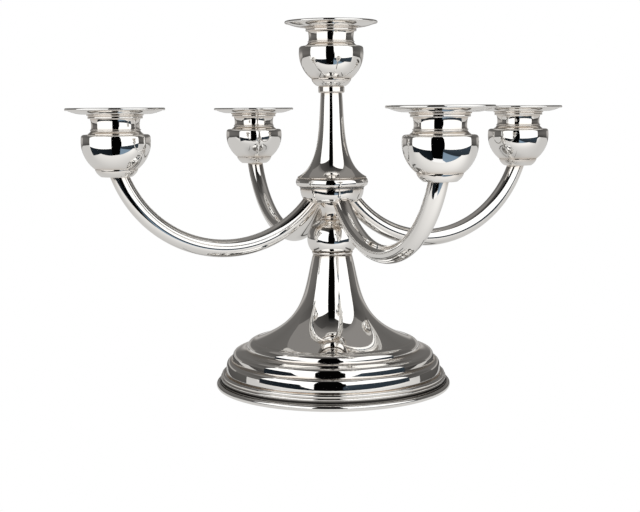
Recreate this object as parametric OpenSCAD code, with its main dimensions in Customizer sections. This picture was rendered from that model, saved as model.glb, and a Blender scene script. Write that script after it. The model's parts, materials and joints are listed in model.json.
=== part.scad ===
// Five-light tabletop candelabra in spun silver plate.
// A weighted candlestick base carries a branch unit that lifts out and turns,
// and each of the five candle cups holds a drop-in nozzle with its own drip pan.
// Millimetres, +Z up, origin at the centre of the felt's underside; arms lie along X and Y.

/* [Candle sockets] */
// Bore of each candle socket
socket_bore = 23; // [21:0.5:23]
// Depth of each candle socket
socket_depth = 20; // [16:1:22]
// Outer diameter of each drip pan
pan_d = 55.8; // [50:0.2:60]

/* [Candle cups] */
// Diameter of the ball of each cup
ball_d = 38.9; // [37:0.1:40]
// Outer diameter of the neck above the ball
cup_neck_d = 26.9; // [26.9:0.1:27.6]

/* [Arms] */
// Distance from the centre axis to each outer candle
arm_reach = 133; // [128:1:138]
// Height of the outer cups' seats above the table
arm_cup_z = 132.5; // [130:0.5:136]
// Outer diameter of the arm tube
arm_d = 10.4; // [9.6:0.1:10.4]
// Radius of the arm's sweep along its centreline
arm_sweep = 68.9; // [67:0.1:71]
// Lean of the arm tube from the vertical where it enters its cup
arm_lean = 21.2; // [18:0.2:24]

/* [Column] */
// Height of the top cup's seat above the table
top_cup_z = 183.4; // [180:0.2:190]
// Diameter of the upper column under its collar
column_top_d = 13; // [12:0.2:14]

/* [Foot] */
// Outer diameter of the foot over its edge wire
foot_d = 144; // [143:0.5:146]
// Height of the trumpet's top, under the knop ring
trumpet_top_z = 81.5; // [80:0.5:82]

/* [Sheet and fits] */
// Thickness of the spun sheet
sheet_t = 0.8; // [0.7:0.1:0.8]
// Gap between pieces that are soldered, screwed or stacked together
joint_gap = 0.05; // [0.03:0.01:0.08]
// Radial clearance of the branch spigot in its socket
spigot_clearance = 0.08; // [0.05:0.01:0.1]

/* [Hidden] */

spin_fn = 96;
overlap = 0.5;

// Directions of the four arms about the centre axis
LEFT = 180;
RIGHT = 0;
FRONT = 270;
BACK = 90;
ARMS = [LEFT, RIGHT, FRONT, BACK];

// Foot, from the felt up
felt_t = 1.6;
board_t = 1.4;
wire_r = 1.8;
wire_z = 2.05;
wire_ring_r = foot_d / 2 - wire_r;
hem_inset = 0.6;
skirt_z = wire_z + sqrt(pow(wire_r + joint_gap, 2) - hem_inset * hem_inset);
board_r = wire_ring_r - wire_r - 0.2;
ballast_z = felt_t + board_t + joint_gap;
ballast_gap = 0.4;
trumpet_foot = [48.4, 28.7];
trumpet_top_r = 12;

// Centres of the ovals that round the foot's tiers and the coves between them
tier_1 = trumpet_foot - [0, 3.9];
cove_1 = [58.8, 24.8];
tier_2 = [58.8, 18];
cove_2 = [63, 18.6];
tier_3 = [63, 11.65];
skirt = [67.6, 7.3];
skirt_r = wire_ring_r - hem_inset;

// Tie rod that clamps knop, trumpet and ballast together
tie_r = 3;
recess_r = 12;
recess_top = 11;
tie_washer_r = 10;
tie_washer_t = 1.5;
tie_nut_r = 5.8;
tie_nut_t = 4;
tie_bottom = 4.5;

// Knop: an oval ball between the trumpet and the branch neck
knop_r = 15.3;
knop_half_h = 13.3;
knop_mid = trumpet_top_z + 9.4;
knop_ring_h = 2.4;
knop_bottom = trumpet_top_z + joint_gap + knop_ring_h + joint_gap;
knop_top = trumpet_top_z + 21.5;
knop_seam = trumpet_top_z + 17.2;

// Spigot of the branch unit and its socket in the knop
spigot_r = 4.6;
spigot_l = 20;
spigot_head = 5;
socket_r = 5.9;
socket_floor = 3;
socket_flange_r = 9;
socket_flange_t = 1.5;

// Branch unit, from the neck up to the column
rod_r = 2.5;
rod_hole_r = rod_r + 0.1;
neck_z = knop_top + joint_gap;
neck_top_r = 8.3;
hub_z = 113.8;
hub_r = 19.3;
hub_mid = 121.6;
hub_rim_z = 122.2;
ring_z = hub_rim_z + joint_gap;
ring_h = 1;
ring_inner_r = 17.5;
flange_z = ring_z + ring_h + joint_gap;
flange_r = 21.9;
flange_h = 4.9;
flange_nose = 1.4;
column_z = flange_z + flange_h + joint_gap;
column_foot_r = 20.9;
collar_r = 7.9;
collar_h = 4.1;
column_top_z = top_cup_z - joint_gap - collar_h - joint_gap;
core_r = 8;

// Arm centreline: one circular arc in the plane through the centre axis
arm_r = arm_d / 2;
arm_tip = [arm_reach - 1.7, arm_cup_z];
arm_centre = arm_tip + arm_sweep * [-cos(arm_lean), sin(arm_lean)];
arm_root_angle = 37;
cope_r = 8.4;

// Candle cup, measured up from the bottom of its seat
seat_r = 11.95;
seat_h = 4.4;
seat_foot_r = 8.7;
ball_r = ball_d / 2;
ball_z = seat_h + joint_gap;
ball_mid = 19.6;
shoulder_z = 23.7;
lip_r = 15.9;
lip_z = 34.9;
cup_neck_r = cup_neck_d / 2;
boss_r = 7.6;
boss_z = sheet_t + 0.5;
screw_r = 2;
screw_head_r = 4;
screw_head_h = 2.4;
screw_slot_w = 0.9;

// Nozzle: socket sleeve and drip pan
sleeve_t = 0.8;
sleeve_r = socket_bore / 2 + sleeve_t;
pan_z = lip_z + joint_gap;
pan_flat_r = 16.2;
pan_rise = 2.8;
rim_r = 0.75;
pan_rim_r = pan_d / 2 - rim_r;
sleeve_top = pan_z + sheet_t + 0.5;
sleeve_floor = sleeve_top - socket_depth - sleeve_t;

// ---- outlines as [radius, height] points ----

// Oval arc about c, with half widths rx and rz, from angle a0 to a1
function oval(c, rx, rz, a0, a1, n = 8) =
    [for (i = [0:n]) let (a = a0 + (a1 - a0) * i / n) c + [rx * cos(a), rz * sin(a)]];

// Cubic curve from p0 to p3 with handles p1 and p2
function curve(p0, p1, p2, p3, n = 12) =
    [for (i = [0:n]) let (t = i / n, s = 1 - t)
        s * s * s * p0 + 3 * s * s * t * p1 + 3 * s * t * t * p2 + t * t * t * p3];

// Unit vector to the left of the step from a to b
function left_of(a, b) = [a.y - b.y, b.x - a.x] / norm(b - a);

// The same outline moved t to its left
function beside(p, t) =
    [for (i = [0:len(p) - 1])
        let (last = len(p) - 1,
             before = left_of(p[max(i - 1, 0)], p[max(i, 1)]),
             after = left_of(p[min(i, last - 1)], p[min(i + 1, last)]),
             both = before + after)
        p[i] + both * 2 * t / (both * both)];

function backwards(p) = [for (i = [len(p) - 1:-1:0]) p[i]];

// Stepped rim of the foot, from the trumpet's lower edge down to the skirt
function foot_steps() = concat(
    oval(tier_1, 4.5, 3.9, 80, 0, 6),
    oval(cove_1, 6, 2.3, 200, 265, 5),
    oval(tier_2, 3, 4.4, 80, 0, 7),
    oval(cove_2, 1.2, 1.85, 200, 260, 4),
    oval(tier_3, 3, 5.3, 80, -35, 9),
    [[65.75, 8.5]],
    oval(skirt, 1.75, 1.75, 115, -50, 9),
    [[skirt_r - 0.75, 5.4], [skirt_r - 0.1, 4.9], [skirt_r, 4.7], [skirt_r, skirt_z]]
);

function foot_outline() = concat(
    [[trumpet_top_r, trumpet_top_z]],
    curve([trumpet_top_r, trumpet_top_z - 0.5], [18.1, 58.3], [16.1, 40.4], trumpet_foot, 20),
    foot_steps()
);

// Knop surface between two heights
function knop_angle(z) = asin((z - knop_mid) / knop_half_h);
function knop_arc(z0, z1, n) = oval([0, knop_mid], knop_r, knop_half_h, knop_angle(z0), knop_angle(z1), n);

function neck_outline() = concat(
    [[neck_top_r, hub_z - joint_gap]],
    curve([neck_top_r, hub_z - 0.4], [7.9, hub_z - 4.6], [6.2, hub_z - 5], [6.2, neck_z + 1.6], 10),
    [[6.2, neck_z + 1]]
);

function hub_outline() = concat(
    [[hub_r, hub_rim_z]],
    oval([hub_r - 4.7, hub_mid], 4.7, hub_mid - hub_z, 0, -90, 10),
    [[rod_hole_r, hub_z]]
);

function column_outline() = concat(
    [[column_top_d / 2, column_top_z]],
    curve([column_top_d / 2, column_top_z - 0.5], [7.9, 159.7], [6.8, 135.6],
        [column_foot_r, column_z + 0.6], 20),
    [[column_foot_r, column_z]]
);

function seat_outline(hole_r) = concat(
    [[seat_r, seat_h]],
    curve([seat_r, seat_h - 0.4], [11.6, 2.2], [9.8, 0.7], [seat_foot_r, 0], 8),
    [[hole_r, 0]]
);

// Cup: everted lip, waisted neck, flared foot, shoulder and ball
function cup_outline() = concat(
    [[lip_r, lip_z], [lip_r, lip_z - 0.7]],
    curve([cup_neck_r + 1.6, lip_z - 1.2], [cup_neck_r + 0.1, lip_z - 3.4], [cup_neck_r - 0.3, 26.2],
        [15.2, 24.4], 10),
    [[15.3, shoulder_z]],
    oval([17.6, shoulder_z - 1.8], ball_r - 17.7, 1.8, 85, 20, 4),
    oval([0, ball_mid], ball_r, ball_r, 1, -asin((ball_mid - ball_z) / ball_r), 12),
    [[rod_hole_r, ball_z]]
);

// Underside of a drip pan, from its hole out to its rolled rim
function pan_outline() = concat(
    [[sleeve_r + joint_gap, pan_z]],
    curve([pan_flat_r, pan_z], [21, pan_z + 0.2], [pan_rim_r - 2.4, pan_z + 1.2],
        [pan_rim_r, pan_z + pan_rise - rim_r / 2], 10)
);

// ---- building blocks ----

module lathe() {
    rotate_extrude($fn = spin_fn) children();
}

// A spun sheet: the outline is its outer face, followed downwards
module spun(outline, t = sheet_t) {
    lathe() polygon(concat(outline, backwards(beside(outline, -t))));
}

module washer(z, r, hole, t) {
    translate([0, 0, z])
        difference() {
            cylinder(r = r, h = t, $fn = spin_fn);
            translate([0, 0, -overlap]) cylinder(r = hole, h = t + 2 * overlap, $fn = spin_fn);
        }
}

module hex_nut(z, r, hole, t) {
    translate([0, 0, z])
        difference() {
            cylinder(r = r, h = t, $fn = 6);
            translate([0, 0, -overlap]) cylinder(r = hole, h = t + 2 * overlap, $fn = spin_fn);
        }
}

// Places a candle cup's pieces at the end of the arm that points along angle a
module at_arm(a) {
    rotate([0, 0, a]) translate([arm_reach, 0, arm_cup_z]) children();
}

module at_top() {
    translate([0, 0, top_cup_z]) children();
}

// The arm's arc, extruded from a ring of the given radii, in the XZ plane
module arm_arc(outer, inner) {
    root = 180 + arm_root_angle;
    tip = 360 - arm_lean + 4;
    translate([arm_centre.x, 0, arm_centre.y])
        rotate([90, 0, 0])
            rotate([0, 0, root])
                rotate_extrude(angle = tip - root, $fn = 128)
                    translate([arm_sweep, 0])
                        difference() {
                            circle(r = outer, $fn = spin_fn);
                            if (inner > 0) circle(r = inner, $fn = spin_fn);
                        }
}

// Room left for the branch neck and the hub core between the arm roots
module cope() {
    neck = beside(neck_outline(), 2 * joint_gap);
    lathe() polygon(concat([[0, hub_rim_z], [cope_r, hub_rim_z], [cope_r, hub_z]], neck, [[0, neck_z + 1]]));
}

// ---- base ----

module foot_shell() {
    color("silver") spun(foot_outline());
}

module foot_edge_wire() {
    color("silver") lathe() translate([wire_ring_r, wire_z]) circle(r = wire_r, $fn = 32);
}

module foot_ballast() {
    fill = beside(foot_steps(), -(sheet_t + ballast_gap));
    top = fill[0].y;
    foot_r = fill[len(fill) - 1].x;
    outline = [
        [tie_r + ballast_gap, recess_top], [tie_r + ballast_gap, top], each fill,
        [foot_r, ballast_z + 2], [board_r - 1, ballast_z], [recess_r, ballast_z], [recess_r, recess_top]
    ];
    color("gainsboro") lathe() polygon(outline);
}

module base_board() {
    color("saddlebrown") translate([0, 0, felt_t]) cylinder(r = board_r, h = board_t, $fn = spin_fn);
}

module felt_pad() {
    color("black") cylinder(r = board_r - 0.4, h = felt_t, $fn = spin_fn);
}

module tie_rod() {
    top = trumpet_top_z;
    color("gray") translate([0, 0, tie_bottom]) cylinder(r = tie_r, h = top - tie_bottom, $fn = spin_fn);
}

module tie_washer() {
    color("gray")
        washer(recess_top - joint_gap - tie_washer_t, tie_washer_r, tie_r + joint_gap, tie_washer_t);
}

module tie_nut() {
    z = recess_top - 2 * joint_gap - tie_washer_t - tie_nut_t;
    color("goldenrod") hex_nut(z, tie_nut_r, tie_r + joint_gap, tie_nut_t);
}

module knop_ring() {
    bulge = 1.2;
    z0 = trumpet_top_z + joint_gap;
    outline = concat(
        [[socket_r + joint_gap, z0], [trumpet_top_r - 0.5, z0]],
        oval([trumpet_top_r - 0.5, z0 + knop_ring_h / 2], bulge - 0.2, knop_ring_h / 2, -80, 80, 8),
        [[trumpet_top_r - 0.5, z0 + knop_ring_h], [socket_r + joint_gap, z0 + knop_ring_h]]
    );
    color("silver") lathe() polygon(outline);
}

module knop_body() {
    color("silver") spun(knop_arc(knop_seam - 2 * joint_gap, knop_bottom, 14));
}

module knop_cap() {
    outline = concat([[socket_r + joint_gap, knop_top]], knop_arc(knop_top, knop_seam, 6));
    inner = backwards(beside(knop_arc(knop_top - 0.2, knop_seam, 6), -sheet_t));
    color("silver") lathe() polygon(concat(outline, inner, [[socket_r + joint_gap, knop_top - sheet_t]]));
}

module spigot_socket() {
    bore_r = spigot_r + spigot_clearance;
    floor_z = knop_top - spigot_l - 1;
    bottom = floor_z - socket_floor;
    flange_z0 = knop_bottom;
    outline = [
        [tie_r + joint_gap, bottom], [socket_r, bottom], [socket_r, flange_z0],
        [socket_flange_r, flange_z0], [socket_flange_r, flange_z0 + socket_flange_t],
        [socket_r, flange_z0 + socket_flange_t], [socket_r, knop_top],
        [bore_r, knop_top], [bore_r, floor_z], [tie_r + joint_gap, floor_z]
    ];
    color("goldenrod") lathe() polygon(outline);
}

// ---- branch unit ----

module branch_spigot() {
    z0 = knop_top - spigot_l;
    blind = knop_top - spigot_head;
    color("goldenrod")
        difference() {
            union() {
                translate([0, 0, z0 + 1])
                    cylinder(r = spigot_r, h = spigot_l + spigot_head - 1, $fn = spin_fn);
                translate([0, 0, z0]) cylinder(r1 = spigot_r - 0.8, r2 = spigot_r, h = 1, $fn = spin_fn);
            }
            translate([0, 0, blind])
                cylinder(r = rod_r + joint_gap, h = 2 * spigot_head + overlap, $fn = spin_fn);
        }
}

module branch_neck() {
    outer = neck_outline();
    hole = spigot_r + joint_gap;
    foot_r = 6.7;
    outline = concat(
        outer,
        [[foot_r, neck_z + 0.8], [foot_r, neck_z], [hole, neck_z], [hole, neck_z + 1]],
        backwards(beside(outer, -sheet_t))
    );
    color("silver") lathe() polygon(outline);
}

module hub_cup() {
    color("silver")
        difference() {
            spun(hub_outline());
            for (a = ARMS) rotate([0, 0, a]) arm_arc(arm_r + joint_gap, 0);
        }
}

module hub_core() {
    z0 = hub_z + sheet_t + joint_gap;
    color("goldenrod") washer(z0, core_r, rod_hole_r, hub_rim_z - z0);
}

module hub_cover() {
    t = ring_h / 2;
    color("silver") washer(flange_z - joint_gap - t, ring_inner_r - joint_gap, rod_hole_r, t);
}

module hub_ring() {
    outline = [
        [ring_inner_r, ring_z], [19.5, ring_z], [19.8, ring_z + 0.3],
        [19.8, ring_z + ring_h - 0.3], [19.6, ring_z + ring_h], [ring_inner_r, ring_z + ring_h]
    ];
    color("silver") lathe() polygon(outline);
}

module hub_flange() {
    edge = flange_h / 2;
    centre = [flange_r - flange_nose, flange_z + edge];
    outline = concat([[ring_inner_r, flange_z + flange_h]], oval(centre, flange_nose, edge, 90, -90, 12),
        [[ring_inner_r, flange_z]]);
    color("silver") spun(outline);
}

module upper_column() {
    color("silver") spun(column_outline());
}

module column_collar() {
    color("silver") washer(top_cup_z - joint_gap - collar_h, collar_r, rod_hole_r, collar_h);
}

module branch_rod() {
    z0 = knop_top - spigot_head + 0.5;
    top = top_cup_z + ball_z + sheet_t + 6;
    color("gray") translate([0, 0, z0]) cylinder(r = rod_r, h = top - z0, $fn = spin_fn);
}

module rod_washer() {
    color("gray") washer(top_cup_z + ball_z + sheet_t + joint_gap, 5.5, rod_hole_r, 0.8);
}

module rod_nut() {
    color("goldenrod") hex_nut(top_cup_z + ball_z + sheet_t + 1, 4.6, rod_r + joint_gap, 3.5);
}

module arm() {
    stop = arm_cup_z + sheet_t + 0.3;
    room = 40;
    color("silver")
        difference() {
            arm_arc(arm_r, arm_r - sheet_t);
            cope();
            translate([arm_reach - room / 2, -room / 2, stop]) cube(room);
        }
}

module arm_left() { rotate([0, 0, LEFT]) arm(); }
module arm_right() { rotate([0, 0, RIGHT]) arm(); }
module arm_front() { rotate([0, 0, FRONT]) arm(); }
module arm_back() { rotate([0, 0, BACK]) arm(); }

// ---- candle cups ----

// Seat at an arm's end: a small bowl holed for the leaning tube
module arm_seat(a) {
    color("silver")
        difference() {
            at_arm(a) spun(seat_outline(1));
            rotate([0, 0, a]) arm_arc(arm_r + joint_gap, 0);
        }
}

module cup_seat_top() { color("silver") at_top() spun(seat_outline(rod_hole_r)); }
module cup_seat_left() { arm_seat(LEFT); }
module cup_seat_right() { arm_seat(RIGHT); }
module cup_seat_front() { arm_seat(FRONT); }
module cup_seat_back() { arm_seat(BACK); }

// Tapped boss in each arm's seat
module seat_bosses() {
    color("goldenrod")
        for (a = ARMS)
            at_arm(a) washer(boss_z, boss_r, screw_r + joint_gap, seat_h - boss_z);
}

// Slotted screw that holds each arm's cup down on its seat
module cup_screws() {
    head_z = ball_z + sheet_t + joint_gap;
    color("gray")
        for (a = ARMS)
            at_arm(a)
                difference() {
                    union() {
                        translate([0, 0, boss_z + 0.2])
                            cylinder(r = screw_r, h = head_z - boss_z, $fn = spin_fn);
                        translate([0, 0, head_z])
                            cylinder(r = screw_head_r, h = screw_head_h, $fn = spin_fn);
                    }
                    translate([-screw_head_r - overlap, -screw_slot_w / 2, head_z + screw_head_h / 2])
                        cube([2 * (screw_head_r + overlap), screw_slot_w, screw_head_h]);
                }
}

module cup_ball() { color("silver") spun(cup_outline()); }
module cup_ball_top() { at_top() cup_ball(); }
module cup_ball_left() { at_arm(LEFT) cup_ball(); }
module cup_ball_right() { at_arm(RIGHT) cup_ball(); }
module cup_ball_front() { at_arm(FRONT) cup_ball(); }
module cup_ball_back() { at_arm(BACK) cup_ball(); }

// ---- nozzles ----

module nozzle_sleeve() {
    color("silver")
        translate([0, 0, sleeve_floor])
            difference() {
                cylinder(r = sleeve_r, h = socket_depth + sleeve_t, $fn = spin_fn);
                translate([0, 0, sleeve_t])
                    cylinder(d = socket_bore, h = socket_depth + overlap, $fn = spin_fn);
            }
}

module nozzle_sleeve_top() { at_top() nozzle_sleeve(); }
module nozzle_sleeve_left() { at_arm(LEFT) nozzle_sleeve(); }
module nozzle_sleeve_right() { at_arm(RIGHT) nozzle_sleeve(); }
module nozzle_sleeve_front() { at_arm(FRONT) nozzle_sleeve(); }
module nozzle_sleeve_back() { at_arm(BACK) nozzle_sleeve(); }

module drip_pan() {
    under = pan_outline();
    color("silver") {
        lathe() polygon(concat(under, backwards(beside(under, sheet_t))));
        lathe() translate([pan_rim_r, pan_z + pan_rise]) circle(r = rim_r, $fn = 24);
    }
}

module drip_pan_top() { at_top() drip_pan(); }
module drip_pan_left() { at_arm(LEFT) drip_pan(); }
module drip_pan_right() { at_arm(RIGHT) drip_pan(); }
module drip_pan_front() { at_arm(FRONT) drip_pan(); }
module drip_pan_back() { at_arm(BACK) drip_pan(); }

foot_shell();
foot_edge_wire();
foot_ballast();
base_board();
felt_pad();
tie_rod();
tie_washer();
tie_nut();
knop_ring();
knop_body();
knop_cap();
spigot_socket();
branch_spigot();
branch_neck();
hub_cup();
hub_core();
hub_cover();
hub_ring();
hub_flange();
upper_column();
column_collar();
branch_rod();
rod_washer();
rod_nut();
arm_left();
arm_right();
arm_front();
arm_back();
cup_seat_top();
cup_seat_left();
cup_seat_right();
cup_seat_front();
cup_seat_back();
seat_bosses();
cup_screws();
cup_ball_top();
cup_ball_left();
cup_ball_right();
cup_ball_front();
cup_ball_back();
nozzle_sleeve_top();
nozzle_sleeve_left();
nozzle_sleeve_right();
nozzle_sleeve_front();
nozzle_sleeve_back();
drip_pan_top();
drip_pan_left();
drip_pan_right();
drip_pan_front();
drip_pan_back();
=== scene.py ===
"""Looks of the five-light candelabra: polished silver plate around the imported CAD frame."""
import json
import math

import bpy
import numpy as np
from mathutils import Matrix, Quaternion, Vector


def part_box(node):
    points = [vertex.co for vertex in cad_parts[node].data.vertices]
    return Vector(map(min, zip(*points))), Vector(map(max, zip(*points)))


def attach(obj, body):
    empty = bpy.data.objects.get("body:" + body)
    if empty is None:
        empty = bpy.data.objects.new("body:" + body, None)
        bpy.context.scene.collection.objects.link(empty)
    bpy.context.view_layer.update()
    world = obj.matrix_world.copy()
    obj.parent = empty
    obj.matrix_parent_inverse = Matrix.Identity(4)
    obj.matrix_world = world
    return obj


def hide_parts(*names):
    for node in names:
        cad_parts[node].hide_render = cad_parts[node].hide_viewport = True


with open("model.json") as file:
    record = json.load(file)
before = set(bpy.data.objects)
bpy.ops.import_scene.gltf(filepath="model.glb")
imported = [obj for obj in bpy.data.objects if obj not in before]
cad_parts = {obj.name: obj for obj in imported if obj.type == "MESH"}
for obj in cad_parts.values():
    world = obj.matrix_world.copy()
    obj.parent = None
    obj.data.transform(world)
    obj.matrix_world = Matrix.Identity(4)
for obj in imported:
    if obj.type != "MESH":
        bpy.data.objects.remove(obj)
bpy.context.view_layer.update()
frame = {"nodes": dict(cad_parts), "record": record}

MM = 0.001
TURN = 2 * math.pi

# Places of the five candles, and the direction of each arm about the centre axis
CUPS = ("top", "left", "right", "front", "back")
ARMS = {"left": math.pi, "right": 0.0, "front": -math.pi / 2, "back": math.pi / 2}

# Millimetres: thickness of the spun sheet, the hole for the branch rod, and heights in a cup over its bottom
SHEET_T = 0.8
ROD_HOLE = 2.6
BALL_MID, BALL_SHOULDER, CUP_LIP = 15.15, 19.25, 30.45
CUP_NECK_R = 13.45


# ---- the frame, in millimetres ----

def extent(node):
    """Axis (x, y), lowest z, highest z and radius of a turned CAD node, in millimetres."""
    low, high = (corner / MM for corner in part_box(node))
    return ((low.x + high.x) / 2, (low.y + high.y) / 2), low.z, high.z, (high.x - low.x) / 2


# ---- outlines: points (r, z) or (r, z, fillet radius), in millimetres ----

def oval(centre, rx, rz, start, end, n=12):
    """Points on an oval arc about centre, from angle start to end in degrees."""
    angles = np.radians(np.linspace(start, end, n + 1))
    return [(centre[0] + rx * math.cos(a), centre[1] + rz * math.sin(a)) for a in angles]


def curve(p0, p1, p2, p3, n=32):
    """Points on the cubic curve from p0 to p3 with handles p1 and p2."""
    points = []
    for t in np.linspace(0, 1, n + 1):
        s = 1 - t
        weights = (s * s * s, 3 * s * s * t, 3 * s * t * t, t * t * t)
        points.append(tuple(sum(w * p[k] for w, p in zip(weights, (p0, p1, p2, p3)))
                            for k in (0, 1)))
    return points


def beside(points, t):
    """The same open outline moved t to its left, going from each point to the next."""
    p = np.array([q[:2] for q in points], float)
    step = np.diff(p, axis=0)
    left = np.stack([-step[:, 1], step[:, 0]], 1) / np.linalg.norm(step, axis=1)[:, None]
    both = np.vstack([left[:1], left]) + np.vstack([left, left[-1:]])
    moved = p + both * (2 * t / (both * both).sum(1))[:, None]
    return [tuple(q) for q in moved]


def filleted(points, n=5):
    """A closed outline with each (r, z, radius) corner rounded."""
    result = []
    count = len(points)
    for i, point in enumerate(points):
        here = np.array(point[:2], float)
        if len(point) < 3:
            result.append(here)
            continue
        before = np.array(points[i - 1][:2], float) - here
        after = np.array(points[(i + 1) % count][:2], float) - here
        reach_before, reach_after = np.linalg.norm(before), np.linalg.norm(after)
        cut = min(point[2], 0.45 * reach_before, 0.45 * reach_after)
        a, b = here + before / reach_before * cut, here + after / reach_after * cut
        for t in np.linspace(0, 1, n + 1):
            result.append((1 - t) ** 2 * a + 2 * t * (1 - t) * here + t * t * b)
    return result


def resampled(points, longest):
    """A closed outline with its long stretches divided, so that shading stays close to each corner."""
    result = []
    for a, b in zip(points, points[1:] + points[:1]):
        parts = max(1, math.ceil(np.linalg.norm(b - a) / longest))
        result += [a + (b - a) * k / parts for k in range(parts)]
    return result


def hollows(points, reach=1.3):
    """How deep in a hollow each point of a closed, counterclockwise outline lies, from 0 to 1."""
    p = np.array(points)
    edges = np.linalg.norm(np.roll(p, -1, 0) - p, axis=1)
    along = np.concatenate([[0], np.cumsum(edges)])
    total = along[-1]
    loop = np.vstack([p, p[:1]])

    def at(s):
        s = np.mod(s, total)
        return np.stack([np.interp(s, along, loop[:, k]) for k in (0, 1)], 1)

    here = along[:-1]
    back, ahead = p - at(here - reach), at(here + reach) - p
    turning = np.arctan2(back[:, 0] * ahead[:, 1] - back[:, 1] * ahead[:, 0], (back * ahead).sum(1))
    return np.clip(-turning / 1.2, 0, 1)


# ---- meshes ----

def new_piece(name, verts, faces, tarnish_and_shade, body, nodes, slot="silver_plate", sharp=38, groove_shade=None):
    """A smooth-shaded mesh piece that rides on a body and stands for the CAD nodes given."""
    mesh = bpy.data.meshes.new(name)
    mesh.from_pydata([tuple(v * MM) for v in np.asarray(verts, float)], [], faces)
    mesh.validate()
    # Per-point tarnishing with painted crevice shade, read by the silver material
    attribute = mesh.attributes.new("tarnish_and_shade", "FLOAT", "POINT")
    attribute.data.foreach_set("value", np.asarray(tarnish_and_shade, np.float32))
    # Black painted shade for the deepest grooves
    if groove_shade is not None:
        attribute = mesh.attributes.new("groove_shade", "FLOAT", "POINT")
        attribute.data.foreach_set("value", np.asarray(groove_shade, np.float32))
    mesh.shade_smooth()
    mesh.set_sharp_from_angle(angle=math.radians(sharp))
    mesh.materials.append(MATERIALS[slot])
    piece = bpy.data.objects.new(name, mesh)
    bpy.context.scene.collection.objects.link(piece)
    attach(piece, body)
    if nodes:
        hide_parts(*nodes)
    return piece


def lathe(name, outline, body, nodes=(), axis=(0, 0), spin=144, slot="silver_plate",
          longest=0.9, stain_and_shade_spots=(), reach=2.2, sharp=38, groove_shade=()):
    """A closed outline of (r, z) points spun about a vertical axis. Spots are (r, z) places where
    tarnishing and painted crevice shade gather, such as the line where another piece is soldered on.
    Black painted shade is put in the deepest grooves at (r, z, reach) places."""
    points = [np.array(p, float) for p in resampled(filleted(outline), longest)]
    p = np.array(points)
    following = np.roll(p, -1, 0)
    if (p[:, 0] * following[:, 1] - following[:, 0] * p[:, 1]).sum() < 0:
        p = p[::-1].copy()
    # Tarnishing with painted crevice shade: strongest in the hollows of the outline and near the spots given
    tarnish_and_shade = hollows(p)
    for stain_and_shade in stain_and_shade_spots:
        away = np.linalg.norm(p - np.array(stain_and_shade), axis=1)
        tarnish_and_shade = np.maximum(tarnish_and_shade, np.exp(-away / reach * 1.5) * 0.9)
    # Black painted shade in the deepest grooves, at the places given
    black = np.zeros(len(p))
    for r, z, size in groove_shade:
        away = np.linalg.norm(p - np.array((r, z)), axis=1)
        black = np.maximum(black, np.clip(2 * (1 - away / size), 0, 1))
    count = len(p)
    angles = np.arange(spin) * TURN / spin
    cos, sin = np.cos(angles)[:, None], np.sin(angles)[:, None]
    heights = np.repeat(p[None, :, 1], spin, 0)
    verts = np.stack([axis[0] + cos * p[:, 0], axis[1] + sin * p[:, 0], heights], 2)
    faces = []
    for i in range(spin):
        here, there = i * count, (i + 1) % spin * count
        faces += [(here + j, there + j, there + (j + 1) % count, here + (j + 1) % count)
                  for j in range(count)]
    verts = verts.reshape(-1, 3)
    on_axis = p[:, 0] < 1e-6
    if on_axis.any():
        verts, faces = closed_on_axis(verts, faces, count, spin, on_axis)
    tarnish_and_shade, black = (np.tile(values, spin)[:len(verts)] for values in (tarnish_and_shade, black))
    return new_piece(name, verts, faces, tarnish_and_shade, body, nodes, slot, sharp, black)


def closed_on_axis(verts, faces, count, spin, on_axis):
    """Joins the points of every turn that lie on the axis into one, so that a spun disc closes."""
    first = {j: j for j in range(count) if on_axis[j]}
    target = [first.get(k % count, k) for k in range(count * spin)]
    kept = sorted(set(target))
    place = {k: i for i, k in enumerate(kept)}
    closed = []
    for face in faces:
        corners = []
        for k in face:
            c = place[target[k]]
            if c not in corners:
                corners.append(c)
        if len(corners) > 2:
            closed.append(tuple(corners))
    return verts[kept], closed


def swept_ring(name, centres, radius, body, tarnish_and_shade=0.6, sides=16):
    """A closed bead of round section along a closed line of points."""
    c = np.array(centres, float)
    ahead = np.roll(c, -1, 0) - np.roll(c, 1, 0)
    ahead /= np.linalg.norm(ahead, axis=1)[:, None]
    out = c - c.mean(0)
    out -= (out * ahead).sum(1)[:, None] * ahead
    out /= np.linalg.norm(out, axis=1)[:, None]
    up = np.cross(ahead, out)
    angles = np.arange(sides) * TURN / sides
    cos, sin = np.cos(angles)[None, :, None], np.sin(angles)[None, :, None]
    ring = radius * (cos * out[:, None] + sin * up[:, None])
    verts = (c[:, None] + ring).reshape(-1, 3)
    count = len(c)
    faces = [(i * sides + j, i * sides + (j + 1) % sides,
              (i + 1) % count * sides + (j + 1) % sides, (i + 1) % count * sides + j)
             for i in range(count) for j in range(sides)]
    # The solder bead is given tarnishing and painted shade evenly all over
    return new_piece(name, verts, faces, np.full(len(verts), tarnish_and_shade), body, ())


# ---- materials ----

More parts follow.
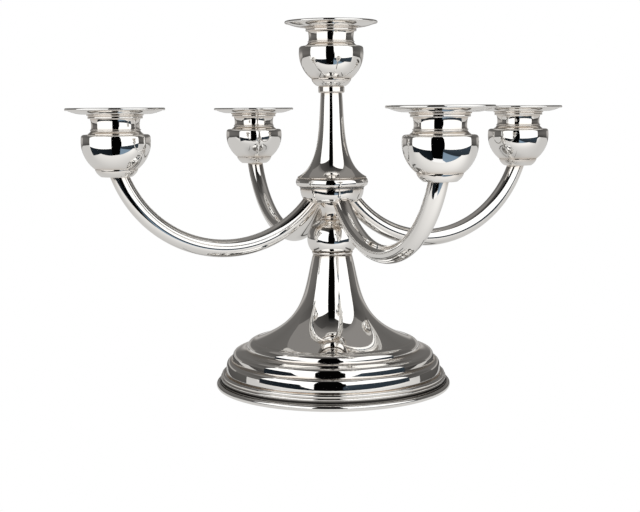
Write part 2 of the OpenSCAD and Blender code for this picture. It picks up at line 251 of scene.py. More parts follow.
class Shader:
    """A node material around one Principled shader, in the object's own coordinates."""

    def __init__(self, name, **constants):
        self.material = bpy.data.materials.new(name)
        self.material.use_nodes = True
        self.tree = self.material.node_tree
        self.surface = self.tree.nodes["Principled BSDF"]
        for socket, value in constants.items():
            self.surface.inputs[socket.replace("_", " ")].default_value = value
        self.place = self.node("ShaderNodeTexCoord").outputs["Object"]

    def node(self, kind, settings=(), **inputs):
        made = self.tree.nodes.new(kind)
        for key, value in dict(settings).items():
            setattr(made, key, value)
        for key, value in inputs.items():
            self.set(made.inputs[key.replace("_", " ")], value)
        return made

    def set(self, socket, value):
        if isinstance(value, bpy.types.NodeSocket):
            self.tree.links.new(value, socket)
        else:
            socket.default_value = value

    def noise(self, scale, detail=2.0, roughness=0.5, stretch=None):
        place = self.place
        if stretch:
            place = self.node("ShaderNodeMapping", Vector=place, Scale=stretch).outputs["Vector"]
        made = self.node("ShaderNodeTexNoise", Vector=place, Scale=scale, Detail=detail,
                         Roughness=roughness)
        return made.outputs["Fac"]

    def ramp(self, value, low, high, to_low=0.0, to_high=1.0):
        made = self.node("ShaderNodeMapRange", Value=value)
        sockets = ("From Min", "From Max", "To Min", "To Max")
        for socket, number in zip(sockets, (low, high, to_low, to_high)):
            made.inputs[socket].default_value = number
        return made.outputs["Result"]

    def math(self, operation, a, b):
        made = self.node("ShaderNodeMath", {"operation": operation, "use_clamp": True})
        self.set(made.inputs[0], a)
        self.set(made.inputs[1], b)
        return made.outputs[0]

    def mix(self, factor, a, b):
        made = self.node("ShaderNodeMix", {"data_type": "RGBA"})
        self.set(made.inputs["Factor"], factor)
        self.set(made.inputs[6], a)
        self.set(made.inputs[7], b)
        return made.outputs[2]

    def bump(self, height, distance, after=None):
        made = self.node("ShaderNodeBump", Height=height, Distance=distance)
        if after is not None:
            self.set(made.inputs["Normal"], after)
        return made.outputs["Normal"]

    def finish(self, **inputs):
        for socket, value in inputs.items():
            self.set(self.surface.inputs[socket.replace("_", " ")], value)
        return self.material


def silver():
    """Hand-polished silver plate: faint waves, buffing marks, warm tarnishing where a cloth can't reach with
    painted crevice shade in the same hollows, and black painted shade in the deepest grooves.
    """
    s = Shader("silver_plate", Metallic=1.0)
    # Tarnishing with painted crevice shade: warm brown in the hollows and at joints, in patches
    tarnish_and_shade = s.node("ShaderNodeAttribute", {"attribute_name": "tarnish_and_shade"}).outputs["Fac"]
    patches = s.noise(38, 4, 0.6)
    tarnish_with_shade = s.math("MULTIPLY", tarnish_and_shade, s.ramp(patches, 0.3, 0.7, 0.35, 1.0))
    film = s.ramp(s.noise(24, 3, 0.55), 0.45, 0.8, 0.0, 0.05)
    stain_and_shade = s.math("MAXIMUM", tarnish_with_shade, film)
    colour = s.mix(stain_and_shade, (0.955, 0.945, 0.925, 1), (0.66, 0.55, 0.44, 1))
    buffing = s.noise(900, 2, 0.6, (1, 1, 0.25))
    rough = s.math("ADD", s.ramp(buffing, 0.3, 0.7, 0.022, 0.05), s.ramp(stain_and_shade, 0.05, 1, 0, 0.22))
    waves = s.bump(s.noise(42, 1.5, 0.4), 0.000035)
    # Near-black colour painted into the deepest grooves as shade
    groove_shade = s.node("ShaderNodeAttribute", {"attribute_name": "groove_shade"}).outputs["Fac"]
    colour = s.mix(groove_shade, colour, (0.03, 0.028, 0.026, 1))
    rough = s.math("ADD", rough, s.ramp(groove_shade, 0, 1, 0, 0.25))
    return s.finish(Base_Color=colour, Roughness=rough, Normal=waves)


def brass():
    """Turned brass, dulled with age: fine turning rings and brown patches."""
    s = Shader("brass", Metallic=1.0)
    age = s.ramp(s.noise(160, 5, 0.65), 0.35, 0.75)
    colour = s.mix(age, (0.80, 0.60, 0.28, 1), (0.46, 0.29, 0.12, 1))
    rings = s.node("ShaderNodeTexWave", {"bands_direction": "Z"}, Vector=s.place, Scale=900.0,
                   Distortion=0.6)
    rough = s.ramp(age, 0, 1, 0.22, 0.46)
    return s.finish(Base_Color=colour, Roughness=rough, Normal=s.bump(rings.outputs["Fac"], 0.00001))


def steel():
    """Plain zinc-plated steel with a drawn grain."""
    s = Shader("steel", Metallic=1.0)
    grain = s.noise(2600, 3, 0.6, (1, 1, 0.06))
    spangle = s.noise(260, 3, 0.5)
    colour = s.mix(spangle, (0.60, 0.61, 0.62, 1), (0.47, 0.475, 0.48, 1))
    return s.finish(Base_Color=colour, Roughness=s.ramp(grain, 0.3, 0.7, 0.26, 0.42),
                    Normal=s.bump(grain, 0.000006))


def plaster():
    """Cast plaster: off-white, chalky, with small air pits."""
    s = Shader("plaster", Roughness=0.92)
    pits = s.node("ShaderNodeTexVoronoi", Vector=s.place, Scale=420.0)
    depth = s.ramp(pits.outputs["Distance"], 0.05, 0.28)
    colour = s.mix(s.noise(90, 5, 0.6), (0.86, 0.84, 0.79, 1), (0.74, 0.71, 0.64, 1))
    return s.finish(Base_Color=colour,
                    Normal=s.bump(s.noise(700, 4, 0.6), 0.00012, s.bump(depth, 0.0004)))


def board():
    """Brown pulp board with short darker and lighter fibres."""
    s = Shader("board", Roughness=0.86)
    fibres = s.noise(1400, 4, 0.7, (1, 0.35, 1))
    flecks = s.ramp(s.noise(620, 2, 0.5), 0.58, 0.70)
    colour = s.mix(s.ramp(fibres, 0.3, 0.7), (0.36, 0.26, 0.165, 1), (0.50, 0.385, 0.265, 1))
    colour = s.mix(flecks, colour, (0.24, 0.17, 0.11, 1))
    return s.finish(Base_Color=colour, Normal=s.bump(fibres, 0.00008))


def felt():
    """Dark green wool felt: matted fibres, a soft sheen and a little lint."""
    s = Shader("felt", Roughness=0.95, Sheen_Weight=0.6, Sheen_Roughness=0.5,
               Sheen_Tint=(0.5, 0.75, 0.55, 1))
    mat = s.noise(1700, 5, 0.75, (1, 0.6, 1))
    tufts = s.noise(420, 4, 0.6)
    colour = s.mix(s.ramp(mat, 0.3, 0.7), (0.012, 0.085, 0.042, 1), (0.04, 0.19, 0.10, 1))
    colour = s.mix(s.ramp(tufts, 0.35, 0.75, 0, 0.5), colour, (0.022, 0.12, 0.065, 1))
    lint = s.ramp(s.noise(2300, 2, 0.4, (1, 0.12, 1)), 0.70, 0.74)
    colour = s.mix(lint, colour, (0.25, 0.40, 0.30, 1))
    return s.finish(Base_Color=colour, Normal=s.bump(mat, 0.0003, s.bump(tufts, 0.0006)))


MATERIALS = {"silver_plate": silver(), "brass": brass(), "steel": steel(),
             "plaster": plaster(), "board": board(), "felt": felt()}


# ---- foot ----

def foot_line(z_top, hem_r):
    """Outer face of the foot from the trumpet's top, at z_top, down to the groove over its hem."""
    tier_1, cove_1 = (48.4, 24.8), (58.8, 24.8)
    tier_2, cove_2 = (59.1, 19.4), (63.0, 18.6)
    tier_3, tier_3_under = (63.3, 13.6), (65.0, 10.4)
    upper_bead, lower_bead = (67.3, 8.2), (68.4, 6.5)
    trumpet = curve((12, z_top - 0.5), (18.1, 58.3), (16.1, 40.4), (tier_1[0], tier_1[1] + 3.9), 72)
    return [(12, z_top), *trumpet,
            *oval(tier_1, 4.5, 3.9, 80, 0, 14),
            *oval(cove_1, 6, 2.3, 200, 265, 12),
            *oval(tier_2, 2.6, 3, 80, 10, 14), (61.95, 18.2),
            *oval(cove_2, 1.1, 1.85, 205, 260, 10),
            *oval(tier_3, 2.3, 3.3, 80, 10, 16), (65.85, 12.2),
            *oval(tier_3_under, 1, 1.2, 5, -60, 10), (65.75, 9.1),
            *oval(upper_bead, 1.3, 1.1, 110, -10, 14), (68.55, 7.5),
            *oval(lower_bead, 0.95, 0.95, 75, -50, 14),
            (hem_r - 0.6, 5.3), (hem_r - 0.1, 4.8), (hem_r, 4.6)]


def make_foot():
    _, hem_z, top_z, hem_r = extent("foot_shell")
    outside = foot_line(top_z, hem_r) + [(hem_r, hem_z, 0.2)]
    inside = beside([p[:2] for p in outside], -SHEET_T)[::-1]
    # The groove over the hem gets black painted shade
    lathe("foot_shell_silver", outside + inside, "base", ["foot_shell"], spin=224, longest=1.6,
          stain_and_shade_spots=[(12, top_z), (hem_r, hem_z)], groove_shade=[(hem_r - 0.4, 4.9, 1.25)])
    _, low, high, wire_ring = extent("foot_edge_wire")
    wire_r = (high - low) / 2
    middle = (wire_ring - wire_r, (low + high) / 2)
    # Black painted shade where the wire meets the foot
    lathe("foot_edge_wire_silver", oval(middle, wire_r, wire_r, 0, 345, 23), "base", ["foot_edge_wire"],
          spin=224, groove_shade=[(middle[0] - 0.8, high, 0.9)])


# ---- knop ----

def make_knop():
    _, ring_low, ring_high, ring_r = extent("knop_ring")
    bore = 6
    mid = (ring_low + ring_high) / 2
    half = (ring_high - ring_low) / 2
    lathe("knop_ring_silver",
          [(bore, ring_low), (ring_r - 1.3, ring_low), *oval((ring_r - 1.2, mid), 1.2, half, -80, 80, 14),
           (ring_r - 1.3, ring_high), (bore, ring_high)],
          "base", ["knop_ring"], spin=128, stain_and_shade_spots=[(ring_r - 0.6, ring_low), (ring_r - 0.6, ring_high)])
    _, low, seam, knop_r = extent("knop_body")
    _, _, top, _ = extent("knop_cap")
    centre, half_h = (0, low + 6.92), 13.3

    def latitude(z):
        return math.degrees(math.asin((z - centre[1]) / half_h))

    body = oval(centre, knop_r, half_h, latitude(seam - 0.1), latitude(low + 0.1), 56)
    body_inside = oval(centre, knop_r - SHEET_T, half_h - SHEET_T, latitude(low + 0.1),
                       latitude(seam - 0.4), 24)
    lathe("knop_body_silver", body + body_inside, "base", ["knop_body"], spin=160,
          stain_and_shade_spots=[body[-1], body[0]], reach=1.4)
    cap = oval(centre, knop_r, half_h, latitude(top), latitude(seam + 0.05), 28)
    lathe("knop_cap_silver", [(bore, top, 0.2), *cap,
          *oval(centre, knop_r - SHEET_T, half_h - SHEET_T, latitude(seam), latitude(top - 0.9), 16),
          (bore, top - SHEET_T)], "base", ["knop_cap"], spin=160, stain_and_shade_spots=[cap[0], cap[-1]], reach=1.4)


# ---- branch: neck, hub and column ----

def neck_line():
    """Outer face of the branch neck, from the hub down to its foot ring."""
    _, low, high, top_r = extent("branch_neck")
    return [(top_r, high),
            *curve((top_r, high - 0.35), (7.9, high - 4.55), (6.2, high - 4.95), (6.2, low + 1.7), 28)]


def hub_line():
    """Outer face of the hub cup, from its rim down to the flat of its bottom."""
    _, low, high, rim_r = extent("hub_cup")
    return [(rim_r, high), *oval((rim_r - 4.7, high - 0.6), 4.7, high - 0.6 - low, 0, -90, 36)]


def make_branch():
    _, low, high, _ = extent("branch_neck")
    neck, spigot_hole = neck_line(), 4.7
    inner = beside(neck, -SHEET_T)[::-1]
    lathe("branch_neck_silver", neck + [(6.35, low + 1.25), (6.7, low + 0.95, 0.25), (6.7, low, 0.25),
          (spigot_hole, low), (spigot_hole, low + 1.2)] + inner, "branch", ["branch_neck"], spin=96,
          stain_and_shade_spots=[neck[0], (6.7, low), (6.2, low + 1.7)], reach=3)

    _, hub_low, _, _ = extent("hub_cup")
    hub = hub_line()
    lathe("hub_cup_silver",
          hub + [(ROD_HOLE, hub_low), (ROD_HOLE, hub_low + SHEET_T)] + beside(hub, -SHEET_T)[::-1],
          "branch", ["hub_cup"], spin=160, stain_and_shade_spots=[hub[0], (9, hub_low)], reach=2.5)

    _, low, high, ring_r = extent("hub_ring")
    inside = 17.5
    # Black painted shade in the creases at the ring's top and bottom edges
    lathe("hub_ring_silver", [(inside, low), (ring_r - 0.3, low, 0.12), (ring_r, low + 0.3, 0.2),
          (ring_r, high - 0.3, 0.2), (ring_r - 0.2, high, 0.1), (inside, high)], "branch",
          ["hub_ring", "hub_cover"], spin=160, groove_shade=[(ring_r, high, 0.6), (ring_r, low, 0.5)])

    _, low, high, flange_r = extent("hub_flange")
    edge, nose = (high - low) / 2, 1.4
    centre = (flange_r - nose, low + edge)
    lathe("hub_flange_silver",
          [(inside, high), *oval(centre, nose, edge, 90, -90, 32), (inside, low), (inside, low + SHEET_T),
           *oval(centre, nose - SHEET_T, edge - SHEET_T, -90, 90, 12), (inside, high - SHEET_T)],
          "branch", ["hub_flange"], spin=160,
          stain_and_shade_spots=[(flange_r - nose, high), (flange_r - nose, low)], reach=1.1)

    _, low, high, foot_r = extent("upper_column")
    neck_r = 6.5
    column = [(neck_r, high),
              *curve((neck_r, high - 0.5), (7.9, 159.7), (6.8, 135.6), (foot_r, low + 0.6), 72),
              (foot_r, low, 0.25)]
    lathe("upper_column_silver", column + beside([p[:2] for p in column], -SHEET_T)[::-1], "branch",
          ["upper_column"], spin=144, stain_and_shade_spots=[(neck_r, high), (foot_r, low)], reach=2)

    _, low, high, collar_r = extent("column_collar")
    lathe("column_collar_silver", [(ROD_HOLE, low), (collar_r - 0.5, low, 0.25), (collar_r, low + 0.5, 0.3),
          (collar_r, high - 0.5, 0.3), (collar_r - 0.5, high, 0.25), (ROD_HOLE, high)], "branch",
          ["column_collar"], spin=96, stain_and_shade_spots=[(collar_r - 0.6, low), (collar_r - 0.6, high)])


# ---- arms ----

ARM_SWEEP = 68.9
ARM_LEAN = math.radians(21.2)
ARM_ROOT = math.radians(216.4)
ARM_R, ARM_BORE = 5.2, 4.4
TIP_INSET = 1.7


def arm_frame():
    """Centre of the arm's arc as (distance from the axis, z), and the height of its cup's seat."""
    (reach, _), seat_z, _, _ = extent("cup_seat_right")
    tip = (reach - TIP_INSET, seat_z)
    centre = (tip[0] - ARM_SWEEP * math.cos(ARM_LEAN), tip[1] + ARM_SWEEP * math.sin(ARM_LEAN))
    return centre, seat_z


def arm_point(centre, radius, around, along):
    """Point on the bent tube, at an angle around its section and an angle along its arc."""
    reach = ARM_SWEEP + radius * np.cos(around)
    return np.stack([centre[0] + reach * np.cos(along), radius * np.sin(around) + 0 * along,
                     centre[1] + reach * np.sin(along)], -1)


def along_at_height(centre, radius, around, z):
    """Angle along the arc, near the arm's tip, at which that line of the tube reaches height z."""
    return TURN + np.arcsin((z - centre[1]) / (ARM_SWEEP + radius * np.cos(around)))


def turned(points, angle):
    cos, sin = math.cos(angle), math.sin(angle)
    p = np.asarray(points)
    return np.stack([p[..., 0] * cos - p[..., 1] * sin, p[..., 0] * sin + p[..., 1] * cos, p[..., 2]], -1)


def arm_tube(centre, seat_z, sides=64, stations=120):
    """Vertices, faces, and tarnishing with painted shade, of one hollow bent tube along +X, cut level inside
    its seat.
    """
    around = np.arange(sides) * TURN / sides
    rings = []
    for radius in (ARM_R, ARM_BORE):
        last = along_at_height(centre, radius, around, seat_z + 1.1)
        share = np.linspace(0, 1, stations)[:, None]
        along = ARM_ROOT + (last[None, :] - ARM_ROOT) * share
        rings.append(arm_point(centre, radius, around[None, :], along))
    loops = np.concatenate([rings[0], rings[1][::-1]])
    count = len(loops)
    faces = [(i * sides + j, i * sides + (j + 1) % sides,
              (i + 1) % count * sides + (j + 1) % sides, (i + 1) % count * sides + j)
             for i in range(count) for j in range(sides)]
    verts = loops.reshape(-1, 3)
    # Tarnishing and painted shade, strongest where the tube meets the hub and where it enters its seat
    root = np.exp(-np.maximum(0, np.hypot(verts[:, 0], verts[:, 1]) - 17) / 5)
    tip = np.exp(-np.maximum(0, seat_z - verts[:, 2]) / 2.5)
    return verts, faces, np.maximum(root * 0.75, tip * 0.8)


def outer_radius(z, lines):
    """Largest radius of the neck and hub outlines at a height."""
    best = 0.0
    for line in lines:
        p = np.array([q[:2] for q in line])[::-1]
        if p[0, 1] <= z <= p[-1, 1]:
            best = max(best, float(np.interp(z, p[:, 1], p[:, 0])))
    return best


def root_seam(centre, count=72):
    """The closed line where the tube meets the hub and neck, found along each line of the tube."""
    lines = (neck_line(), hub_line())
    seam = []
    for around in np.arange(count) * TURN / count:
        low, high = ARM_ROOT, ARM_ROOT + math.radians(45)
        for _ in range(26):
            middle = (low + high) / 2
            x, y, z = arm_point(centre, ARM_R, np.float64(around), np.float64(middle))
            if math.hypot(x, y) < outer_radius(z, lines):
                low = middle
            else:
                high = middle
        seam.append(arm_point(centre, ARM_R, np.float64(around), np.float64(low)))
    seam = np.array(seam)
    for _ in range(4):
        seam = (np.roll(seam, 1, 0) + 2 * seam + np.roll(seam, -1, 0)) / 4
    return seam


def make_arms():
    centre, seat_z = arm_frame()
    verts, faces, tarnish_and_shade = arm_tube(centre, seat_z)
    seam = root_seam(centre)
    around = np.arange(72) * TURN / 72
    tip_seam = arm_point(centre, ARM_R, around, along_at_height(centre, ARM_R, around, seat_z))
    for name, angle in ARMS.items():
        new_piece(f"arm_{name}_silver", turned(verts, angle), faces, tarnish_and_shade, "branch", [f"arm_{name}"])
        swept_ring(f"arm_{name}_root_solder", turned(seam, angle), 0.5, "branch")
        swept_ring(f"arm_{name}_tip_solder", turned(tip_seam, angle), 0.32, "branch")


# ---- candle cups ----

def make_seat(place):
    axis, low, high, seat_r = extent(f"cup_seat_{place}")
    foot_r = 8.7
    hole = ROD_HOLE if place == "top" else 1.0
    bowl = [(seat_r, high),
            *curve((seat_r, high - 0.4), (11.6, low + 2.2), (9.8, low + 0.7), (foot_r, low), 24)]
    lathe(f"cup_seat_{place}_silver",
          bowl + [(hole, low), (hole, low + SHEET_T)] + beside(bowl, -SHEET_T)[::-1],
          "branch", [f"cup_seat_{place}"], axis, spin=112, stain_and_shade_spots=[(seat_r, high), (6.5, low)], reach=2)


def cup_outside(low, ball_r):
    """Outer face of a candle cup from its everted lip down to the edge of its flat bottom."""
    mid, shoulder, lip = low + BALL_MID, low + BALL_SHOULDER, low + CUP_LIP
    neck_r = CUP_NECK_R
    lip_ring = [(15.9, lip, 0.12), (15.9, lip - 0.55, 0.2), (15.25, lip - 0.75, 0.12),
                *oval((14.95, lip - 1.75), 0.35, 0.7, 70, -60, 8)]
    neck = curve((neck_r + 0.6, lip - 2.45), (neck_r, lip - 3.6), (neck_r - 0.2, shoulder + 4.4),
                 (neck_r + 0.2, shoulder + 2.95), 26)
    ring = oval((neck_r + 0.15, shoulder + 2.5), 0.55, 0.38, 70, -70, 8)
    flare = curve((neck_r + 0.35, shoulder + 2.05), (neck_r + 0.7, shoulder + 1.35),
                  (neck_r + 1.2, shoulder + 0.75), (neck_r + 1.95, shoulder + 0.5), 10)
    step = [(neck_r + 2.0, shoulder + 0.1, 0.12)]
    rounding = oval((17.55, shoulder - 1.75), ball_r - 17.65, 1.75, 88, 12, 14)
    ball = oval((0, mid), ball_r, ball_r, 2, -math.degrees(math.asin((mid - low) / ball_r)), 48)
    return lip_ring + neck + ring + flare + step + rounding + ball


def make_cup(place):
    axis, low, high, ball_r = extent(f"cup_ball_{place}")
    mid, neck_in = low + BALL_MID, 12.65
    outside = cup_outside(low, ball_r)
    bottom = math.degrees(math.asin((mid - low - SHEET_T) / (ball_r - SHEET_T)))
    inside = [*oval((0, mid), ball_r - SHEET_T, ball_r - SHEET_T, -bottom, 8, 36),
              *oval((17.1, low + 17.35), ball_r - SHEET_T - 17.1, 1.2, 10, 90, 8),
              *curve((14.7, low + 18.6), (13.4, low + 19.6), (neck_in - 0.15, low + 22.5),
                     (neck_in, high - 4), 16),
              (neck_in + 0.3, high - 1.6), (15.0, high, 0.15)]
    lathe(f"cup_ball_{place}_silver", outside + [(ROD_HOLE, low), (ROD_HOLE, low + SHEET_T)] + inside,
          "branch", [f"cup_ball_{place}"], axis, spin=144,
          stain_and_shade_spots=[outside[-1], (15.9, high), (14.0, high - 2.4), (14.6, low + 20.2)], reach=2.2)


# ---- nozzles and drip pans ----

def make_nozzle(place):
    body = f"nozzle_{place}"
    axis, low, high, sleeve_r = extent(f"nozzle_sleeve_{place}")
    bore, floor = 11.5, SHEET_T
    lathe(f"nozzle_sleeve_{place}_silver",
          [(0, low), (sleeve_r, low, 0.5), (sleeve_r, high, 0.35), (bore, high, 0.35),
           (bore, low + floor, 0.6), (0, low + floor)],
          body, [f"nozzle_sleeve_{place}"], axis, spin=112,
          stain_and_shade_spots=[(bore, low + floor), (sleeve_r, high - 1.2)])
    _, low, high, pan_r = extent(f"drip_pan_{place}")
    bead = 0.75
    rim_r = pan_r - bead
    rise = high - bead - low
    hole = sleeve_r + 0.05
    under = [(hole, low), (16.2, low), *oval((16.6, low), 0.35, 0.28, 180, 0, 8),
             *oval((18.9, low + 0.1), 0.3, 0.24, 190, -5, 8),
             *curve((19.6, low + 0.12), (21.4, low + 0.3), (rim_r - 2.4, low + 1.2),
                    (rim_r - 0.62, low + rise - 0.62), 24)]
    rim = oval((rim_r, low + rise), bead, bead, -128, 128, 26)
    over = [*curve((rim_r - 1.15, low + rise + 0.12), (rim_r - 2.6, low + 1.95),
                   (21.2, low + SHEET_T + 0.25), (16.2, low + SHEET_T), 30),
            (hole + 0.6, low + SHEET_T, 0.3), (hole, low + SHEET_T)]
    lathe(f"drip_pan_{place}_silver", under + rim + over, body, [f"drip_pan_{place}"], axis, spin=176,
          longest=1.2, stain_and_shade_spots=[(15.9, low), (hole, low + SHEET_T)], reach=2)


# ---- felt and the plainer CAD parts ----

def make_felt():
    """The felt disc glued under the board: a cut edge that is a little ragged and rolled."""
    _, low, high, felt_r = extent("felt_pad")
    spin, rings = 240, 26
    rng = np.random.default_rng(7)
    angles = np.arange(spin) * TURN / spin
    ragged = sum(rng.normal(0, 0.05) * np.cos(k * angles + rng.uniform(0, TURN)) for k in range(3, 40))
    radii = np.linspace(0, felt_r - 0.55, rings)[1:]
    verts, faces = [(0, 0, low)], []
    profile = [(r, low) for r in radii] + [(felt_r - 0.22, low + 0.12), (felt_r - 0.1, low + 0.5),
                                           (felt_r - 0.14, high - 0.3), (felt_r - 0.3, high)]
    for r, z in profile:
        share = (r / felt_r) ** 12
        verts += [((r + w * share) * math.cos(a), (r + w * share) * math.sin(a), z)
                  for a, w in zip(angles, ragged)]
    verts.append((0, 0, high))
    last = len(profile) - 1
    for j in range(spin):
        k = (j + 1) % spin
        faces.append((0, 1 + k, 1 + j))
        faces += [(1 + i * spin + j, 1 + i * spin + k, 1 + (i + 1) * spin + k, 1 + (i + 1) * spin + j)
                  for i in range(last)]
        faces.append((1 + last * spin + j, 1 + last * spin + k, len(verts) - 1))
    piece = new_piece("felt_disc", np.array(verts), faces, np.zeros(len(verts)), "base", ["felt_pad"],
                      "felt")


def dress_cad_nodes():
    """Gives the CAD nodes that still show the material of their slot."""
    slots = {row["node"]: row["material_slot"] for row in frame["record"]["subparts"]}
    for name, node in frame["nodes"].items():
        for slot in node.material_slots:
            slot.material = MATERIALS[slots[name]]


# ---- stage: seen only in the silver, except the floor ----
# Plan points are (across, away) in metres from the candelabra's axis. They are turned by VIEW_ANGLE,
# so that in the main view across is to the right and away is straight back.

VIEW_ANGLE = 0.425
CEILING_Z, TABLE_Z, FLOOR_Z = 1.5, -0.0006, -0.0003
PIT_Z = -0.3
END_LEFT, END_RIGHT = (-0.375, -0.087), (0.432, -0.068)
ROOM_WIDTH, ROOM_FRONT, TABLE_FRONT, ROOM_BACK = (-1.6, 1.6), -0.9, -0.22, 1.8
WARM, NEUTRAL, COOL = (1.0, 0.96, 0.92), (1.0, 1.0, 1.0), (0.70, 0.98, 1.28)


def in_row_frame(across, away, z):
    cos, sin = math.cos(VIEW_ANGLE), math.sin(VIEW_ANGLE)
    return (across * cos + away * sin, away * cos - across * sin, z)


def glow(name):
    """A material that shines with the colour stored in the mesh."""
    material = bpy.data.materials.new(name)
    material.use_nodes = True
    material.cycles.emission_sampling = "NONE"
    tree = material.node_tree
    tree.nodes.clear()
    stored = tree.nodes.new("ShaderNodeAttribute")
    stored.attribute_name = "glow"
    emission = tree.nodes.new("ShaderNodeEmission")
    output = tree.nodes.new("ShaderNodeOutputMaterial")
    tree.links.new(stored.outputs["Color"], emission.inputs["Color"])
    tree.links.new(emission.outputs[0], output.inputs["Surface"])
    return material


GLOW = glow("studio_glow")


def set_piece(name, grid, colours, camera=False, material=GLOW):
    """A stage sheet over a grid of points (rows, columns, 3), each with its own brightness."""
    rows, columns = grid.shape[:2]
    faces = [(i * columns + j, i * columns + j + 1, (i + 1) * columns + j + 1, (i + 1) * columns + j)
             for i in range(rows - 1) for j in range(columns - 1)]
    mesh = bpy.data.meshes.new(name)
    mesh.from_pydata([tuple(p) for p in grid.reshape(-1, 3)], [], faces)
    stored = mesh.attributes.new("glow", "FLOAT_COLOR", "POINT")
    full = np.concatenate([colours.reshape(-1, 3), np.ones((rows * columns, 1))], 1)
    stored.data.foreach_set("color", full.astype(np.float32).ravel())
    mesh.materials.append(material)
    piece = bpy.data.objects.new(name, mesh)
    bpy.context.scene.collection.objects.link(piece)
    piece.visible_camera = camera
    return piece


def band(name, rows, tint=NEUTRAL):
    """Part of a standing wall. Rows are (start, end, z at each of them, brightness at each of them)."""
    grid = np.array([[in_row_frame(*start, z0), in_row_frame(*end, z1)] for start, end, z0, z1, *_ in rows])
    levels = np.array([row[4:6] for row in rows])
    set_piece(name, grid, levels[..., None] * np.array(tint))


def plain_wall(name, start, end, stops, tint=NEUTRAL):
    """A standing wall between two plan points with (z, brightness) stops."""
    band(name, [(start, end, z, z, level, level) for z, level in stops], tint)


def level_sheet(name, z, across, away, brightness, tint=NEUTRAL, steps=24):
    """A level sheet whose brightness follows a function of (across, away)."""
    u, v = np.meshgrid(np.linspace(*across, steps), np.linspace(*away, steps))
    grid = np.array([[in_row_frame(a, b, z) for a, b in zip(us, vs)] for us, vs in zip(u, v)])
    set_piece(name, grid, brightness(u, v)[..., None] * np.array(tint))


def ease(x, low, high):
    t = np.clip((x - low) / (high - low), 0, 1)
    return t * t * (3 - 2 * t)


def table_light(across, away):
    """Pale in front, greyer where the candelabra shades it, lighter to the right, dim behind the foot."""
    front = 0.6 + 0.22 * ease(-away, 0.03, 0.21) + 0.16 * ease(across, -0.05, 0.2) * ease(-away, -0.1, 0.2)
    return front * (1 - 0.2 * (1 - ease(np.hypot(across, away), 0.1, 0.18)) * ease(away, -0.03, 0.03))


def ceiling_light(across, away):
    """Dark over the camera, lighter towards the back of the room."""
    return (0.05 + 0.13 * ease(away, -0.4, 0.02) + 0.05 * ease(away, -0.02, 0.2)
            + 0.03 * ease(across, 0, 0.3))


def make_softboxes():
    """Two softboxes with a dark gap for the camera between them, and the wall under and over each."""
    white = 1.2
    edge_left, edge_right = (-0.157, -0.465), (0.083, -0.499)
    low_edge_right = (0.108, -0.485)
    band("softbox_left", [(edge_left, END_LEFT, 0.0, 0.11, white, white),
                          (edge_left, END_LEFT, 0.57, 0.47, white, white)])
    band("softbox_right", [(low_edge_right, END_RIGHT, 0.035, 0.12, white, white),
                           (low_edge_right, END_RIGHT, 0.15, 0.2, white, white),
                           (edge_right, END_RIGHT, 0.25, 0.28, white, white),
                           (edge_right, END_RIGHT, 0.92, 0.80, white, white)])
    band("under_softbox_left", [(edge_left, END_LEFT, PIT_Z, PIT_Z, 0.008, 0.02),
                                (edge_left, END_LEFT, 0.0, 0.11, 0.008, 0.02)], COOL)
    band("under_softbox_right", [(edge_right, END_RIGHT, PIT_Z, PIT_Z, 0.3, 0.3),
                                 (edge_right, END_RIGHT, -0.035, -0.035, 0.3, 0.3),
                                 (edge_right, END_RIGHT, -0.02, -0.02, 0.03, 0.03),
                                 (edge_right, END_RIGHT, 0.035, 0.12, 0.06, 0.06)], COOL)
    band("over_softbox_left", [(edge_left, END_LEFT, 0.57, 0.47, 0.03, 0.08),
                               (edge_left, END_LEFT, CEILING_Z, CEILING_Z, 0.05, 0.08)], WARM)
    band("over_softbox_right", [(edge_right, END_RIGHT, 0.92, 0.80, 0.04, 0.07),
                                (edge_right, END_RIGHT, CEILING_Z, CEILING_Z, 0.05, 0.08)], WARM)
    plain_wall("camera_gap", (-0.24, -0.53), (0.17, -0.54),
               [(PIT_Z, 0.001), (0.95, 0.0015), (CEILING_Z, 0.05)])


def make_far_walls():
    """The unlit room beyond the table. Stops are (z, brightness by the softbox, at the corner, behind)."""
    walls = {
        "left": ((-1.5, -0.75), (-1.45, 1.0),
                 [(PIT_Z, 0.04, 0.08, 0.12), (0.02, 0.05, 0.08, 0.14), (0.1, 0.1, 0.13, 0.4),
                  (0.2, 0.13, 0.16, 0.45), (0.3, 0.12, 0.15, 0.25), (0.38, 0.1, 0.14, 0.15),
                  (0.9, 0.06, 0.13, 0.13), (CEILING_Z, 0.08, 0.13, 0.14)]),
        "right": ((1.5, -0.65), (1.45, 1.1),
                  [(PIT_Z, 0.02, 0.07, 0.12), (0.02, 0.025, 0.07, 0.14), (0.1, 0.06, 0.12, 0.4),
                   (0.2, 0.12, 0.15, 0.45), (0.3, 0.09, 0.13, 0.25), (0.38, 0.07, 0.12, 0.15),
                   (0.9, 0.035, 0.12, 0.13), (CEILING_Z, 0.08, 0.13, 0.14)])}
    for side, (front, corner, stops) in walls.items():
        band(f"side_{side}", [(front, corner, z, z, near, far) for z, near, far, _ in stops], WARM)
        band(f"back_{side}", [(corner, (0, ROOM_BACK), z, z, back, back) for z, _, _, back in stops], WARM)


def make_foot_shade():
    """A low ring of shade on the table beside and behind the foot."""
    ring = [(-0.1, -0.03), (-0.1, 0.06), (-0.06, 0.1), (0.06, 0.1), (0.1, 0.06), (0.1, -0.03)]
    for count, (start, end) in enumerate(zip(ring, ring[1:])):
        plain_wall(f"foot_shade_{count}", start, end, [(0, 0.08), (0.015, 0.1)], WARM)


def make_stage():
    make_softboxes()
    make_far_walls()
    make_foot_shade()
    level_sheet("ceiling", CEILING_Z, ROOM_WIDTH, (ROOM_FRONT, ROOM_BACK), ceiling_light, WARM)
    level_sheet("table_top", TABLE_Z, ROOM_WIDTH, (TABLE_FRONT, ROOM_BACK), table_light,
                (1.0, 0.985, 0.965), 96)
    make_floor()


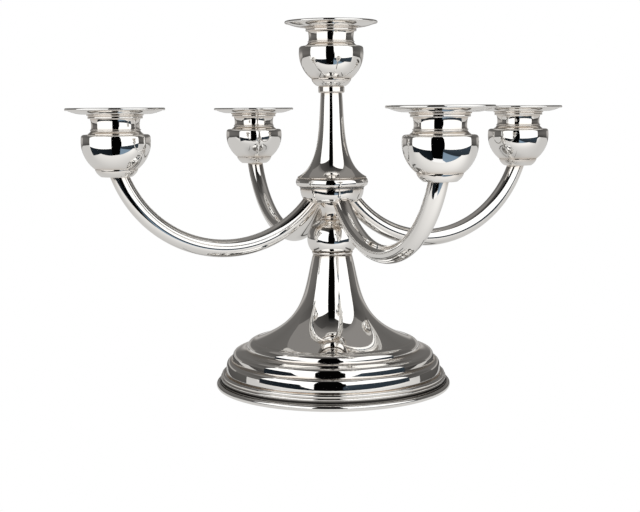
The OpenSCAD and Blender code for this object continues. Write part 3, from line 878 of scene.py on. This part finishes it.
def make_floor():
    """The pale floor that the camera sees, open from below so that the underside can be looked at."""
    material = bpy.data.materials.new("floor_white")
    material.use_nodes = True
    tree = material.node_tree
    tree.nodes.clear()
    emission = tree.nodes.new("ShaderNodeEmission")
    output = tree.nodes.new("ShaderNodeOutputMaterial")
    clear = tree.nodes.new("ShaderNodeBsdfTransparent")
    side = tree.nodes.new("ShaderNodeNewGeometry")
    mix = tree.nodes.new("ShaderNodeMixShader")
    tree.links.new(side.outputs["Backfacing"], mix.inputs[0])
    tree.links.new(emission.outputs[0], mix.inputs[1])
    tree.links.new(clear.outputs[0], mix.inputs[2])
    tree.links.new(mix.outputs[0], output.inputs["Surface"])
    u, v = np.meshgrid([-3.0, 3.0], [-3.0, 3.0])
    grid = np.stack([u, v, np.full_like(u, FLOOR_Z)], -1)
    floor = set_piece("floor", grid, np.ones((2, 2, 3)), camera=True, material=material)
    floor.visible_glossy = floor.visible_diffuse = floor.visible_shadow = False


def make_world():
    world = bpy.data.worlds.new("studio")
    world.use_nodes = True
    world.node_tree.nodes["Background"].inputs["Color"].default_value = (1, 1, 1, 1)
    bpy.context.scene.world = world
    bpy.context.scene.view_settings.view_transform = "Standard"


def make_camera():
    """The main view: a longish lens, a little above the cups, turned slightly off the axis."""
    distance, height, pitch, off_axis, roll = 0.7314, 0.1684, 0.12, 0.0104, -0.0075
    data = bpy.data.cameras.new("camera")
    data.sensor_width, data.lens = 36, 67.6
    data.clip_start, data.clip_end = 0.01, 20
    camera = bpy.data.objects.new("camera", data)
    bpy.context.scene.collection.objects.link(camera)
    camera.location = (-distance * math.sin(VIEW_ANGLE), -distance * math.cos(VIEW_ANGLE), height)
    heading = VIEW_ANGLE - off_axis
    forward = Vector((math.sin(heading) * math.cos(pitch), math.cos(heading) * math.cos(pitch),
                      -math.sin(pitch)))
    camera.rotation_mode = "QUATERNION"
    camera.rotation_quaternion = forward.to_track_quat("-Z", "Y") @ Quaternion((0, 0, 1), roll)
    bpy.context.scene.camera = camera


make_camera()
make_world()
make_stage()
dress_cad_nodes()
make_foot()
make_knop()
make_branch()
make_arms()
for cup in CUPS:
    make_seat(cup)
    make_cup(cup)
    make_nozzle(cup)
make_felt()
